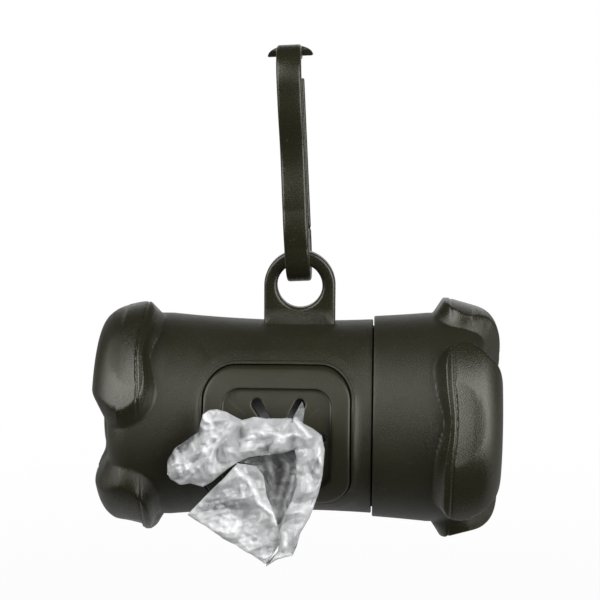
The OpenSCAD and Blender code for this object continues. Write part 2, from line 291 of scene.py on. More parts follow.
def moulded_plastic(name, shade, grain, grain_depth, roughness):
    """Charcoal plastic: a fine eroded grain, faint flow clouds and a few pale specks of painted
    glint.

    Where hands rub it, on what stands proud of the barrel, the grain is worn smoother.
    """
    dark, light = [tuple(c * share for c in shade) + (1,) for share in (0.75, 1.25)]
    # The pale specks' colour: a painted glint of the eroded grain, mixed into the base colour.
    painted_glint = (0.10, 0.098, 0.085, 1)
    material, wires = node_material(name)
    place = wires.node("ShaderNodeTexCoord", output="Object")
    fine = wires.node("ShaderNodeTexNoise", None,
                      {"Vector": place, "Scale": grain, "Detail": 3.0, "Roughness": 0.65})
    cloud = wires.node("ShaderNodeTexNoise", None, {"Vector": place, "Scale": 90.0, "Detail": 3.0})
    speck = wires.node("ShaderNodeTexNoise", None,
                       {"Vector": place, "Scale": grain * 0.3, "Detail": 1.0})
    speck = wires.node("ShaderNodeValToRGB", {"stops": [(0.70, 0.0), (0.78, 1.0)]}, {0: speck})
    tone = wires.node("ShaderNodeMix", {"data_type": "RGBA"}, {
        0: cloud, 6: dark, 7: light}, output=2)
    tone = wires.node("ShaderNodeMix", {"data_type": "RGBA"}, {
        0: speck * 0.15, 6: tone, 7: painted_glint}, output=2)
    about_barrel = wires.node("ShaderNodeMapping", None, {
        "Vector": place, "Location": (0, 0, axis_drop), "Scale": (0, 1, 1)})
    from_axis = wires.node("ShaderNodeVectorMath", {"operation": "LENGTH"}, {0: about_barrel},
                           output="Value")
    handled = wires.node("ShaderNodeMapRange", None, {
        "Value": from_axis, "From Min": 0.0212, "From Max": 0.0222, "To Max": 0.13})
    bump = wires.node("ShaderNodeBump", None, {
        "Height": fine * (1.8 - handled * 7), "Strength": 1.0, "Distance": grain_depth * MM})
    shader = wires.node("ShaderNodeBsdfPrincipled", None, {
        "Base Color": tone,
        "Roughness": roughness - handled + (fine - 0.5) * 0.25 + (cloud - 0.5) * 0.12,
        "Normal": bump, "IOR": 1.49, "Specular Tint": (1.0, 1.0, 0.93, 1)})
    wires.node("ShaderNodeOutputMaterial", None, {"Surface": shader})
    return material


charcoal = moulded_plastic("charcoal_plastic", (0.0120, 0.0112, 0.0050), 3900, 0.05, 0.40)

lobe_round = 20.3
half_turn = math.pi / 3  # three lobes, so half of one lobe's share of the circle
half_pitch = lobe_round * half_turn
body_turn, lid_turn = math.radians(53.5), math.radians(3)
foot_x, head_x = 26.4, 28.9
body_lobe = {"foot": 17.4, "foot_corner": 7.5, "head": 13.7, "head_corner": 6.0}
lid_lobe = {"foot": 19.1, "foot_corner": 6.85, "head": 17.5, "head_corner": 5.3}
pinch_v, pinch_w, pinch_foot, pinch_head = 2.7, 5.0, 1.9, 0.8
crest_r, face_from, face_slope = 23.4, 29.6, 0.27
corner_x, corner_l, squareness, dish_r, dish_depth = 34.2, 5.9, 0.62, 11.0, 2.8
core_x, core_corner_r = 36.8, 5.0
sink_x, sink_v, sink_r, sink_depth, sink_from = 29.2, 2.7, 7.5, 0.75, 30.3
groove_x, groove_w, groove_depth = 30.15, 0.22, 0.16
spread_most, spread_l = 2.8, 3.5
merge_r, merge_l = 5, 6


def eased(t, k):
    """A straight ramp from 0 to 1 with a round foot and head, each a share k of it."""
    t = np.clip(t, 0, 1)
    middle = (t - k / 2) / (1 - k)
    low = t * t / (2 * k * (1 - k))
    high = 1 - (1 - t) ** 2 / (2 * k * (1 - k))
    return np.where(t < k, low, np.where(t > 1 - k, high, middle))


def past_outline(u, v, from_x, half, corner):
    """Distance past a lobe's outline, which runs out to the end; below 0 is inside it."""
    over = half - corner - np.abs(v)
    ahead = u - from_x - corner
    corner_out = np.hypot(np.minimum(over, 0), np.minimum(ahead, 0)) - corner
    return corner_out - np.minimum(np.maximum(np.minimum(over, ahead), 0), corner)


def bone_end(skin, last, side, theta, first_turn, proud, lobe):
    """The rings of a bone end, from the barrel to the middle of the end face.

    Each station has the lobe's x and r, the valley floor's x and r beside it, and the radius
    that the lobe's outline is measured at.
    """
    turn = (theta - first_turn + half_turn) % (2 * half_turn) - half_turn
    middle_v = lobe_round * turn
    pinch = np.exp(-((middle_v - side * pinch_v) / pinch_w) ** 2)
    stations = []
    for u in np.concatenate([np.arange(24.9, 28.6, 0.3), np.arange(28.7, 31.6, 0.09),
                             np.arange(31.7, corner_x, 0.25)]):
        near = u - pinch_head * pinch * np.clip(1 - (u - 30) / 4, 0, 1)
        face = crest_r - face_slope * np.maximum(near - face_from, 0)
        face = face - groove_depth * np.exp(-((near - groove_x) / groove_w) ** 2)
        off = ((u - sink_x) ** 2 + (middle_v - side * sink_v) ** 2) / sink_r ** 2
        face = face - sink_depth * np.clip(1 - off, 0, 1) * np.clip((near - sink_from) / 0.3, 0, 1)
        bend = min(max(u - (core_x - core_corner_r), 0), core_corner_r)
        core = (min(lobe_round, barrel_r(u)) if bend == 0 else
                lobe_round - core_corner_r + math.sqrt(core_corner_r ** 2 - bend ** 2))
        stations.append((u, face, u, core, lobe_round))
    bend_from = math.acos((corner_x - core_x + core_corner_r) / core_corner_r)
    arc = [(core_x - core_corner_r + core_corner_r * math.cos(a),
            lobe_round - core_corner_r + core_corner_r * math.sin(a))
           for a in np.linspace(bend_from, 0, 12)] + [(core_x, dish_r - 0.5)]
    along = np.concatenate([[0], np.cumsum(np.linalg.norm(np.diff(arc, axis=0), axis=1))])
    for t in np.radians(np.linspace(0, 90, 22)):
        share = t / math.radians(90) * along[-1]
        low = [np.interp(share, along, np.array(arc)[:, k]) for k in (0, 1)]
        x = corner_x + corner_l * math.sin(t) ** squareness
        r = dish_r + (crest_r - face_slope * (x - face_from) - dish_r) * math.cos(t) ** squareness
        off = ((x - sink_x) ** 2 + (middle_v - side * sink_v) ** 2) / sink_r ** 2
        face = r - sink_depth * np.clip(1 - off, 0, 1)
        stations.append((x, face, low[0], low[1], min(r, lobe_round)))
    for r in np.linspace(dish_r, 0.7, 13)[1:]:
        x = corner_x + corner_l - dish_depth * (1 + math.cos(math.pi * r / dish_r)) / 2
        stations.append((x, r, core_x, r * (dish_r - 0.5) / dish_r, r))
    for x, r, low_x, low_r, local_r in stations:
        from_valley = local_r * (half_turn - np.abs(turn))
        v = half_pitch - from_valley
        spread = spread_most * min(max((x - corner_x) / spread_l, 0), 1)
        foot = -past_outline(x - pinch_foot * pinch, v, foot_x, lobe["foot"], lobe["foot_corner"])
        head = past_outline(x - pinch_head * pinch, v, head_x, lobe["head"] - spread,
                            lobe["head_corner"])
        foot, head = np.maximum(foot, 0), np.maximum(head, 0)
        rise = eased(foot / np.maximum(foot + head, 1e-6), 0.2)
        outer_r = np.max(r)
        fade = min(max((outer_r - merge_r) / merge_l, 0), 1)
        rise = 1 - (1 - rise) * fade * fade * (3 - 2 * fade)
        share = min(outer_r / dish_r, 1)
        base = low_r + proud * share
        row = skin.ring(around(side * (low_x + (x - low_x) * rise),
                               base + (r + proud * share - base) * rise, theta))
        skin.strip(last, row)
        last = row
    skin.fan(last, (side * (corner_x + corner_l - dish_depth), 0, 0))


def rounded_outline(angles, w, h, r):
    """Where rays at angles leave a rounded rectangle, and the outward normals there."""
    d = np.stack([np.cos(angles), np.sin(angles)], axis=-1)
    corner = np.sign(d) * [w / 2 - r, h / 2 - r]
    with np.errstate(divide="ignore"):
        to_side = w / 2 / np.abs(d[:, 0])
        to_top = h / 2 / np.abs(d[:, 1])
    on_side = to_side * np.abs(d[:, 1]) <= h / 2 - r
    on_top = to_top * np.abs(d[:, 0]) <= w / 2 - r
    across = (d * corner).sum(1)
    to_corner = across + np.sqrt(np.maximum(across ** 2 - (corner ** 2).sum(1) + r * r, 0))
    t = np.where(on_side, to_side, np.where(on_top, to_top, to_corner))
    points = d * t[:, None]
    normals = np.where(on_side[:, None], np.sign(d) * [1, 0],
                       np.where(on_top[:, None], np.sign(d) * [0, 1], (points - corner) / r))
    return points, normals


def on_front(flat, r):
    """Points on the front of a cylinder about the barrel's axis, from x and height."""
    r = np.broadcast_to(r, flat.shape[:1])
    return np.stack([flat[:, 0], -np.sqrt(r * r - flat[:, 1] ** 2), flat[:, 1]], axis=-1)


body = Skin()
theta = np.radians(np.arange(columns) * 360 / columns - front_columns * 180 / columns)
seam_edge = [(0.0, 0.24), (0.04, 0.10), (0.12, 0.03), (0.26, 0.0), (0.7, 0.0)]
seam_rows = body.rows([around(seam_x - inset, barrel_r(seam_x - inset) - drop, theta)
                       for inset, drop in seam_edge])
front = []
for x in np.linspace(front_x[0], front_x[1], front_rows + 1):
    row = body.ring(around(x, barrel_r(x), theta))
    if front:
        body.strip(front[-1], row, skip=(0, front_columns))
    else:
        body.strip(seam_rows[-1], row)
    front.append(row)
flank = body.rows([around(x, barrel_r(x), theta) for x in (-21.6, -22.7, -23.8)], front[-1])
bone_end(body, flank[-1], -1, theta, body_turn, 0, body_lobe)

hole = np.concatenate([front[0][:front_columns], [row[front_columns] for row in front[:-1]],
                       front[-1][front_columns:0:-1], [row[0] for row in front[:0:-1]]])
rim = np.concatenate(body.points)[hole]
rim_flat = rim[:, [0, 2]] - [plate_x, plate_z]
outline, normal = rounded_outline(np.arctan2(rim_flat[:, 1], rim_flat[:, 0]), plate_w, plate_h,
                                  plate_corner_r)
last = hole
cove_from = border_w + cove_w
border_steps = [2.5, 2.2, 1.9, 1.6, 1.35, 1.15, 1.0, 0.9, 0.82, 0.76, 0.70, 0.6, 0.35, 0.24, 0.17,
                seat_gap]
edge_drops = {0.76: 0.05, 0.70: 0.02, 0.24: 0.02, 0.17: 0.08, seat_gap: 0.2}
for e in border_steps:
    flat = outline + normal * e + [plate_x, plate_z]
    ground = barrel_r(flat[:, 0])
    flush = np.clip((np.abs(flat[:, 1]) - 5) / 8, 0, 1)
    top = ground + (border_r - ground) * (1 - flush * flush * (3 - 2 * flush))
    q = min(max((cove_from - e) / (cove_from - border_w), 0), 1)
    rise = 1 - math.sqrt(1 - min(q, 0.985) ** 2) if e > border_w else 1
    r = ground + (top - ground) * rise - edge_drops.get(e, 0)
    row = body.ring(on_front(flat, r))
    body.strip(last, row)
    last = row
seat_floor = body.ring(on_front(outline + normal * seat_gap + [plate_x, plate_z], seat_r))
body.strip(last, seat_floor)

inner_theta = np.radians(np.concatenate([
    np.linspace(-35, 35, front_columns + 1),
    np.linspace(35, 325, columns - front_columns + 1)[1:-1]]))
neck_profile = [(14.7, 18.25), (14.8, 18.2), (19.3, neck_r), (19.6, 18.27), (20.2, 18.27),
                (20.5, neck_r), (21.4, neck_r), (21.6, 18.1), (neck_end, 17.9), (neck_end, 17.2),
                (21.6, 17.0), (bore_x, chamber_r)]
neck = body.rows([around(x, r, theta) for x, r in neck_profile], seam_rows[0])
window_x = (plate_x + window_half, plate_x - window_half)
bore = body.rows([around(bore_x + (window_x[0] - bore_x) * share, chamber_r,
                         theta + (inner_theta - theta) * share)
                  for share in np.linspace(0, 1, 16)[1:]], neck[-1])
inside = [bore[-1]]
for x in np.linspace(window_x[0], window_x[1], front_rows + 1)[1:]:
    row = body.ring(around(x, chamber_r, inner_theta))
    body.strip(inside[-1], row, skip=(0, front_columns))
    inside.append(row)
end_profile = [(-20, chamber_r), (-34.2, chamber_r), (-chamber_half_l, chamber_r - 0.3),
               (-chamber_half_l, end_hub_r)]
chamber_end = body.rows([around(x, r, inner_theta) for x, r in end_profile], inside[-1])
body.fan(chamber_end[-1], (-chamber_half_l, 0, 0))
window = np.concatenate([inside[0][:front_columns], [row[front_columns] for row in inside[:-1]],
                         inside[-1][front_columns:0:-1], [row[0] for row in inside[:0:-1]]])
window_flat = np.concatenate(body.points)[window][:, [0, 2]]
window_front = body.ring(on_front(window_flat, seat_r))
body.strip(seat_floor, window_front)
body.strip(window_front, window)
body_piece = body.piece("body_moulding", "case", charcoal)
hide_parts("body_shell")

# Eye. The tab on top of the body that the hook runs through, moulded with it: a round arch
# with a round hole, its edges broken.
eye_z, eye_hole_r, eye_arch_r, eye_t = 26.6, 4.5, 7.1, 3.0
eye_foot_z = 18.4
rays = np.radians(np.linspace(0, 360, 145)[:-1])
reach = np.where(np.sin(rays) >= 0, eye_arch_r,
                 np.minimum(eye_arch_r / np.maximum(np.abs(np.cos(rays)), 1e-9),
                            (eye_z - eye_foot_z) / np.maximum(-np.sin(rays), 1e-9)))
half_t = eye_t / 2
# Round the tab's section: share of the way from the hole to the rim, radius added, and depth.
section = [(0, 0, -0.9), (0, 0.12, -1.22), (0, 0.38, -1.43), (0, 0.7, -half_t),
           (0.5, 0, -half_t), (1, -0.55, -half_t), (1, -0.25, -1.42), (1, -0.07, -1.22),
           (1, 0, -0.95)]
section += [(share, add, -y) for share, add, y in reversed(section)]
eye = Skin()
eye_rows = []
for share, add, y in section:
    r = eye_hole_r + (reach - eye_hole_r) * share + add
    z = eye_z + r * np.sin(rays)
    swell = 1 + 0.35 * np.clip((20.6 - z) / 1.8, 0, 1) ** 2
    eye_rows.append(np.stack([r * np.cos(rays), y * swell, z], axis=-1))
eye.belt(eye_rows)
eye_piece = eye.piece("body_eye", "case", charcoal, 50)
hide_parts("body_shell")

# Lid. The right-hand bone end, a deep cap in the same plastic that snaps over the neck and
# stands a little proud of the body all round.
lid_x = seam_x + seam_gap
lid_edge = [(0.0, 0.26), (0.05, 0.10), (0.14, 0.03), (0.3, 0.0), (1.5, 0), (4, 0), (7, 0),
            (9.4, 0)]
lid = Skin()
lid_rows = lid.rows([around(lid_x + inset, barrel_r(lid_x + inset) + lid_proud - drop, theta)
                     for inset, drop in lid_edge])
bone_end(lid, lid_rows[-1], 1, theta, lid_turn, lid_proud, lid_lobe)
bore_r = neck_r + 0.1
lid_profile = [(14.9, 18.6), (14.96, 18.4), (15.1, bore_r), (22.1, bore_r), (22.1, chamber_r),
               (34.3, chamber_r), (chamber_half_l, chamber_r - 0.3), (chamber_half_l, end_hub_r)]
lid_bore = lid.rows([around(x, r, theta) for x, r in lid_profile], lid_rows[0])
lid.fan(lid_bore[-1], (chamber_half_l, 0, 0))
lid_piece = lid.piece("lid_moulding", "lid", charcoal)
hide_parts("lid")

# Slot plate. A curved insert in a smoother charcoal plastic, pressed into the body's front:
# a rim, a recessed panel, and the star slot that grips the film.
plate_front_r, panel_r, plate_back_r = 20.3, 19.2, 17.95
panel_w, panel_h, panel_corner_r = 21.2, 20.0, 3.5
star_arms, star_reach, star_tip_w, star_hole_r = 6, 7.5, 1.9, 2.4
star_stretch, star_middle = [1.1, 1.0], [0.3, 0.5]

satin = moulded_plastic("plate_plastic", (0.0150, 0.0137, 0.0065), 3800, 0.025, 0.40)

arm = [(star_hole_r * math.cos(a), star_hole_r * math.sin(a))
       for a in np.radians(np.linspace(-30, -14, 6))[:-1]]
root = (2.33, -0.61)
tip = (star_reach, -star_tip_w / 2)
arm += [(root[0] + (tip[0] - root[0]) * t, root[1] + (tip[1] - root[1]) * t)
        for t in np.linspace(0, 1, 9)[:-1]]
arm += [(star_reach + star_tip_w / 2 * math.cos(a), star_tip_w / 2 * math.sin(a))
        for a in np.radians(np.linspace(-90, 90, 13))]
arm += [(x, -z) for x, z in reversed(arm[:13])]
arm = np.array(arm)
star = np.concatenate([arm @ np.array([[math.cos(a), math.sin(a)], [-math.sin(a), math.cos(a)]])
                       for a in np.radians(np.arange(star_arms) * 360 / star_arms)])
star = star * star_stretch + star_middle
ahead, back = np.roll(star, -1, axis=0), np.roll(star, 1, axis=0)
run = ahead - back
star_normal = np.stack([run[:, 1], -run[:, 0]], axis=-1)
star_normal /= np.maximum(np.linalg.norm(star_normal, axis=1), 1e-9)[:, None]
rays = np.radians(np.arange(len(star)) * 360 / len(star) - 30)
plate_line, plate_normal = rounded_outline(rays, plate_w, plate_h, plate_corner_r)
panel_line, panel_normal = rounded_outline(rays, panel_w, panel_h, panel_corner_r)


def at_plate(e):
    return plate_line + plate_normal * e


def at_panel(e):
    return panel_line + panel_normal * e


def at_star(e):
    return star + star_normal * e


plate_rows = [(at_plate(-0.12), plate_back_r), (at_plate(-0.12), 19.85), (at_plate(-0.15), 20.02),
              (at_plate(-0.24), 20.18), (at_plate(-0.40), 20.27), (at_plate(-0.6), plate_front_r),
              (at_plate(-1.2), plate_front_r), (at_panel(0.9), plate_front_r),
              (at_panel(0.35), plate_front_r), (at_panel(0.16), 20.26), (at_panel(0.05), 20.16),
              (at_panel(0.0), 20.0), (at_panel(-0.05), 19.5), (at_panel(-0.10), 19.34),
              (at_panel(-0.22), 19.24), (at_panel(-0.42), panel_r)]
for share in (0.25, 0.5, 0.75):
    plate_rows.append((at_panel(-0.42) * (1 - share) + at_star(0.6) * share, panel_r))
plate_rows += [(at_star(0.6), panel_r), (at_star(0.34), panel_r), (at_star(0.2), 19.16),
               (at_star(0.07), 19.06), (at_star(0.0), 18.85), (at_star(0.0), plate_back_r)]
plate = Skin()
plate.belt([on_front(flat + [plate_x, plate_z], r) for flat, r in plate_rows])
plate_piece = plate.piece("slot_plate_moulding", "case", satin)
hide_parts("slot_plate")

# Snap hook. One moulding: a flat strap bent into a long loop, drawn in at the waist of its
# front leg, with a low thumb guard on top and a narrow nose that the gate closes on.
hook_top, bend_r, strap_t, strap_w, bend_floor, lean = 47.6, 5.25, 2.5, 4.8, 3.4, 2.85
waist_in, bulge_out, waist_z, waist_span = 1.5, 0.5, 26.2, 10.4
nose_w, nose_angle, pocket_angle, pocket_t = 3.6, 12, 30, 1.05
nose_steps, end_taper = 14, 0.2
low_z = bend_floor + bend_r
top_z = hook_top - bend_r - strap_t
leg_y = bend_r + strap_t / 2
hinge_z = low_z + 2.2
edge_r = 0.55


def leg_line(z):
    """Distance of the front leg's middle from the hook's own middle, at a height."""
    waist = np.abs(z - waist_z) < waist_span
    drawn = np.where(waist, waist_in * (1 + np.cos(np.pi * (z - waist_z) / waist_span)) / 2, 0)
    crease = waist_z - waist_span
    bulge = np.where(z < crease, bulge_out * np.sin(np.pi * (z - low_z) / (crease - low_z)), 0)
    return leg_y - drawn + bulge


def on_hook(points):
    """From the hook's upright frame about the eye's centre to the barrel's frame."""
    a = math.radians(lean)
    x, y, z = points[..., 0], points[..., 1], points[..., 2]
    return np.stack([x * math.cos(a) - z * math.sin(a), y,
                     eye_z + x * math.sin(a) + z * math.cos(a)], axis=-1)


def strap_section(half_w, inner, outer, r):
    """A strap's cross-section with round edges, as (x, distance outwards)."""
    points = []
    for cx, cy, start in ((half_w - r, outer - r, 0), (-half_w + r, outer - r, 90),
                          (-half_w + r, inner + r, 180), (half_w - r, inner + r, 270)):
        for a in np.radians(np.linspace(start, start + 90, 5)):
            points.append((cx + r * math.cos(a), cy + r * math.sin(a)))
    return np.array(points)


path = [(leg_y, z, 1, 0) for z in np.linspace(hinge_z - 0.3, low_z, 4)[:-1]]
for a in np.radians(np.linspace(0, -180, 37)):
    path.append((leg_y * math.cos(a), low_z + leg_y * math.sin(a), math.cos(a), math.sin(a)))
heights = np.linspace(low_z, top_z, 70)[1:-1]
slopes = (leg_line(heights + 0.01) - leg_line(heights - 0.01)) / 0.02
for z, slope in zip(heights, slopes):
    size = math.hypot(1, slope)
    path.append((-float(leg_line(z)), z, -1 / size, -slope / size))
for a in np.radians(np.concatenate([np.linspace(180, 62, 26),
                                   np.linspace(60, nose_angle, nose_steps)])):
    path.append((leg_y * math.cos(a), top_z + leg_y * math.sin(a), math.cos(a), math.sin(a)))
hook = Skin()
strap_rows = []
nose_from = len(path) - nose_steps
for i, (y, z, ny, nz) in enumerate(path):
    half_w, inner = strap_w / 2, -strap_t / 2
    if i >= nose_from:
        a = math.degrees(math.atan2(z - top_z, y))
        half_w = nose_w / 2
        inner += pocket_t * min(max((pocket_angle + 2 - a) / 3, 0), 1)
    if i in (0, len(path) - 1):
        half_w -= end_taper
    part = strap_section(half_w, inner, strap_t / 2, edge_r)
    strap_rows.append(on_hook(np.stack([part[:, 0], y + ny * part[:, 1], z + nz * part[:, 1]],
                                       axis=-1)))
hook.bar(strap_rows)

guard_w, guard_h, guard_y, guard_t = 9.0, 1.9, 2.6, 2.0
guard_foot = hook_top - 0.25 - guard_h
across = np.linspace(-guard_w / 2, guard_w / 2, 33)
dome = guard_h * (1 - np.abs(across * 2 / guard_w) ** 2.4) ** 0.6
loop_line = np.concatenate([np.stack([across, dome], -1), [[across[-1] - 0.2, -0.25]],
                            [[across[0] + 0.2, -0.25]]])
centre_line = loop_line * [0.9, 0.62] + [0, 0.12]
guard_rows = []
for y, share in ((0.0, 0.0), (0.0, 0.6), (0.12, 0.9), (0.4, 1.0), (1.6, 1.0), (1.88, 0.9),
                 (2.0, 0.6), (2.0, 0.0)):
    flat = centre_line * (1 - share) + loop_line * share if share else centre_line * [0.4, 0.5]
    guard_rows.append(on_hook(np.stack([flat[:, 0], np.full(len(flat), guard_y + y * guard_t / 2),
                                        guard_foot + flat[:, 1]], axis=-1)))
hook.bar(guard_rows)
hook_piece = hook.piece("hook_moulding", "hook", charcoal, 40)
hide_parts("clip_frame")

# Gate. The hook's sprung strip, which bends in from the foot of the rear leg and closes
# with a thin tongue behind the nose.
gate_t, gate_top_z, tongue_rise = 1.8, top_z + 0.8, 1.6
gate = Skin()
gate_line = [(hinge_z - 0.75, 0.2, 1.9), (hinge_z - 0.5, 0.62, 2.2), (hinge_z, gate_t / 2, 2.4)]
gate_line += [(z, gate_t / 2, 2.4) for z in np.linspace(hinge_z + 1, gate_top_z - 0.35, 12)]
gate_line += [(gate_top_z - 0.1, gate_t / 2 - 0.1, 2.3), (gate_top_z, gate_t / 2 - 0.35, 2.1)]
gate_rows = []
for z, half, half_w in gate_line:
    part = strap_section(half_w, -half, half, min(0.4, half * 0.9))
    gate_rows.append(on_hook(np.stack([part[:, 0], leg_y + part[:, 1], np.full(len(part), z)], -1)))
gate.bar(gate_rows)
tongue_rows = []
for z, outer in ((gate_top_z - 3, 1.2), (gate_top_z - 0.3, 1.1), (gate_top_z - 0.2, 0.8),
                 (gate_top_z + tongue_rise - 0.15, 0.42), (gate_top_z + tongue_rise, 0.3)):
    part = strap_section(nose_w / 2 - 0.05, 0.06, outer, 0.1)
    tongue_rows.append(on_hook(np.stack([part[:, 0], bend_r + part[:, 1], np.full(len(part), z)],
                                        -1)))
gate.bar(tongue_rows)
gate_piece = gate.piece("gate_moulding", "gate", charcoal, 40)
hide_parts("clip_gate")

# Bag roll. The bags wound on their core: film in a spiral whose edges show at both ends, with
# a step where the outer bag leaves it towards the star.
roll_r, roll_half, roll_x, roll_z = 14.0, 30.0, -1.0, -2.8
core_r, core_inner = 6.0, 5.2
leaves_at = math.radians(70)


def about_roll(x, r, theta):
    return around(x, r, theta) + [roll_x, 0, roll_z]


turns = np.radians(np.arange(240) * 1.5)
wound = (turns - leaves_at) / (2 * math.pi) % 1
roll = Skin()
roll_rows = [about_roll(roll_half - 0.4, core_r + 0.01, turns)]
for r in np.arange(core_r + 0.15, roll_r - 0.3, 0.16):
    ripple = 0.16 * np.abs(((r - core_r) / 0.64 - turns / (2 * math.pi)) % 1 - 0.5)
    roll_rows.append(about_roll(roll_half - 0.05 - ripple, r, turns))
rim_r = roll_r - 0.18 * wound
roll_rows += [about_roll(roll_half - 0.12, rim_r - 0.12, turns),
              about_roll(roll_half - 0.3, rim_r, turns)]
for x in np.linspace(roll_half - 2, -roll_half + 2, 40):
    wave = 0.05 * np.sin(x * 1.7 + 3 * np.sin(turns * 2)) * np.sin(turns * 5 + x * 0.3)
    roll_rows.append(about_roll(x, rim_r - 0.06 + wave, turns))
roll_rows += [row * [-1, 1, 1] + [2 * roll_x, 0, 0] for row in reversed(roll_rows[:-40])]
roll.belt(roll_rows)

wound_material, wires = node_material("wound_film")
place = wires.node("ShaderNodeTexCoord", output="Object")
haze = wires.node("ShaderNodeTexNoise", None, {"Vector": place, "Scale": 140.0, "Detail": 5.0})
stretched = wires.node("ShaderNodeMapping", None, {"Vector": place, "Scale": (40, 900, 900)})
wrinkle = wires.node("ShaderNodeTexNoise", None, {"Vector": stretched, "Scale": 1.0, "Detail": 3.0})
tone = wires.node("ShaderNodeMix", {"data_type": "RGBA"}, {
    0: haze, 6: (0.52, 0.53, 0.54, 1), 7: (0.68, 0.69, 0.70, 1)}, output=2)
bump = wires.node("ShaderNodeBump", None,
                  {"Height": wrinkle + haze, "Strength": 0.5, "Distance": 0.0004})
wires.node("ShaderNodeOutputMaterial", None, {
    "Surface": wires.node("ShaderNodeBsdfPrincipled", None, {
        "Base Color": tone, "Roughness": 0.3 + (wrinkle - 0.5) * 0.2, "Normal": bump})})
roll_piece = roll.piece("wound_bags", "roll", wound_material, 50)
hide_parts("bag_roll")

# Cardboard core. The raw grey-brown tube that the bags are wound on, with the seam of its
# wound card running round the inside.
card_material, wires = node_material("card")
place = wires.node("ShaderNodeTexCoord", output="Object")
fibre = wires.node("ShaderNodeTexNoise", None,
                   {"Vector": place, "Scale": 900.0, "Detail": 5.0, "Roughness": 0.7})
tone = wires.node("ShaderNodeMix", {"data_type": "RGBA"}, {
    0: fibre, 6: (0.26, 0.20, 0.135, 1), 7: (0.44, 0.36, 0.26, 1)}, output=2)
bump = wires.node("ShaderNodeBump", None, {"Height": fibre, "Strength": 0.5, "Distance": 0.0001})
wires.node("ShaderNodeOutputMaterial", None, {
    "Surface": wires.node("ShaderNodeBsdfPrincipled", None, {
        "Base Color": tone, "Roughness": 0.85 + (fibre - 0.5) * 0.2, "Normal": bump})})
core = Skin()
core_rows = []
for x, r in [(roll_half - 0.15, core_r - 0.02), (roll_half, core_r - 0.15),
             (roll_half, core_inner + 0.15), (roll_half - 0.15, core_inner)]:
    core_rows.append(about_roll(x, r, turns))
for x in np.linspace(roll_half - 1, -roll_half + 1, 60):
    seam = 0.06 * (((turns / (2 * math.pi) - x / 26) % 1) > 0.985)
    core_rows.append(about_roll(x, core_inner + seam, turns))
core_rows += [row * [-1, 1, 1] + [2 * roll_x, 0, 0] for row in reversed(core_rows[:4])]
core.belt(core_rows)
core_piece = core.piece("cardboard_core", "roll", card_material, 40)
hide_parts("roll_core")

# Pulled bag. The end of the first bag, pulled out through the star: thin grey-white film,
# crumpled and half turned over into an open mouth. One sheet of folded layers, each patch of
# which is stretched between two edge lines.
film_material, wires = node_material("film")
place = wires.node("ShaderNodeTexCoord", output="Object")
haze = wires.node("ShaderNodeTexNoise", None, {"Vector": place, "Scale": 260.0, "Detail": 4.0})
push = wires.node("ShaderNodeTexNoise", None, {"Vector": place, "Scale": 300.0}, "Color")
push = wires.node("ShaderNodeVectorMath", {"operation": "SCALE"}, {0: push, "Scale": 0.003})
pushed = wires.node("ShaderNodeVectorMath", {"operation": "ADD"}, {0: place, 1: push})


def facets(size, output):
    """Crumpled film's flat facets: a shade for each that paints it lighter or darker as if lit from
    its own side, or the distance from their middles.
    """
    return wires.node("ShaderNodeTexVoronoi", None, {"Vector": pushed, "Scale": size}, output)


def facet_painted_light(size):
    return wires.node("ShaderNodeSeparateColor", None, {0: facets(size, "Color")})


# Whiteness per point, with painted highlights along folds and painted shade in creases, the mouth
# and the slot.
layers = wires.node("ShaderNodeAttribute", {"attribute_name": "layers"}, output="Fac")
# Each facet is painted lighter or darker, as painted shading of the crumples.
white = wires.node("ShaderNodeMapRange", None, {
    "Value": layers + (haze - 0.5) * 0.06 + (facet_painted_light(260.0) - 0.5) * 0.15
    + (facet_painted_light(600.0) - 0.5) * 0.08})
tone = wires.node("ShaderNodeMix", {"data_type": "RGBA"}, {
    0: white, 6: (0.14, 0.142, 0.145, 1), 7: (0.67, 0.675, 0.68, 1)}, output=2)
crumpled = facets(260.0, "Distance") + facets(600.0, "Distance") * 0.3
bump = wires.node("ShaderNodeBump", None,
                  {"Height": crumpled, "Strength": 0.8, "Distance": 0.0005})
film_shader = wires.node("ShaderNodeBsdfPrincipled", None, {
    "Base Color": tone, "Roughness": 0.22 + (haze - 0.5) * 0.2, "Normal": bump, "IOR": 1.5,
    "Alpha": wires.node("ShaderNodeMapRange", None, {
        "Value": white, "From Max": 0.3, "To Min": 0.6, "To Max": 0.97})})
wires.node("ShaderNodeOutputMaterial", None, {"Surface": film_shader})

collar_outer = [(-24.1, -24, -5.6), (-24.0, -24, -3.3), (-22.5, -24.5, -0.9), (-20.2, -24.5, 0.8),
                (-18.1, -25, 2.4), (-17.1, -25.5, 6.1), (-16.0, -25.5, 6.9), (-14.5, -25.5, 7.1),
                (-12.7, -25, 6.5), (-9.8, -24.5, 4.8), (-7.6, -24, 5.4), (-5.3, -24, 5.0),
                (-1.2, -24, 5.2), (1.0, -24.5, 4.8), (3.7, -25, 3.5), (5.3, -25, 2.2),
                (5.9, -25.5, -0.4), (5.5, -26, -5.6), (4.8, -26, -8.9), (3.2, -26.5, -13.4),
                (1.5, -27, -16.2), (0.8, -27, -18.9), (0.0, -27, -20.8), (-2.6, -27, -21.2),
                (-5.0, -27, -22.6)]
collar_inner = [(-24.0, -24, -5.7), (-23.4, -24, -7.1), (-21.7, -24.5, -8.0), (-19.6, -25, -7.5),
                (-17.1, -25.5, -8.0), (-15.4, -26, -6.9), (-12.3, -26, -4.2), (-10.4, -26, -2.9),
                (-8.2, -26, -1.9), (-5.6, -26, -1.5), (-1.9, -26, -1.0), (0.2, -26, -0.3),
                (0.6, -26.5, -1.7), (0.6, -27, -4.6), (0.8, -27, -6.8), (0.0, -27.5, -9.0),
                (-0.9, -27.5, -11.2), (-1.8, -27.5, -13.5), (-2.4, -27.5, -15.7),
                (-2.5, -27.5, -18.0), (-2.8, -27.5, -19.9), (-4.8, -27.2, -22.2)]
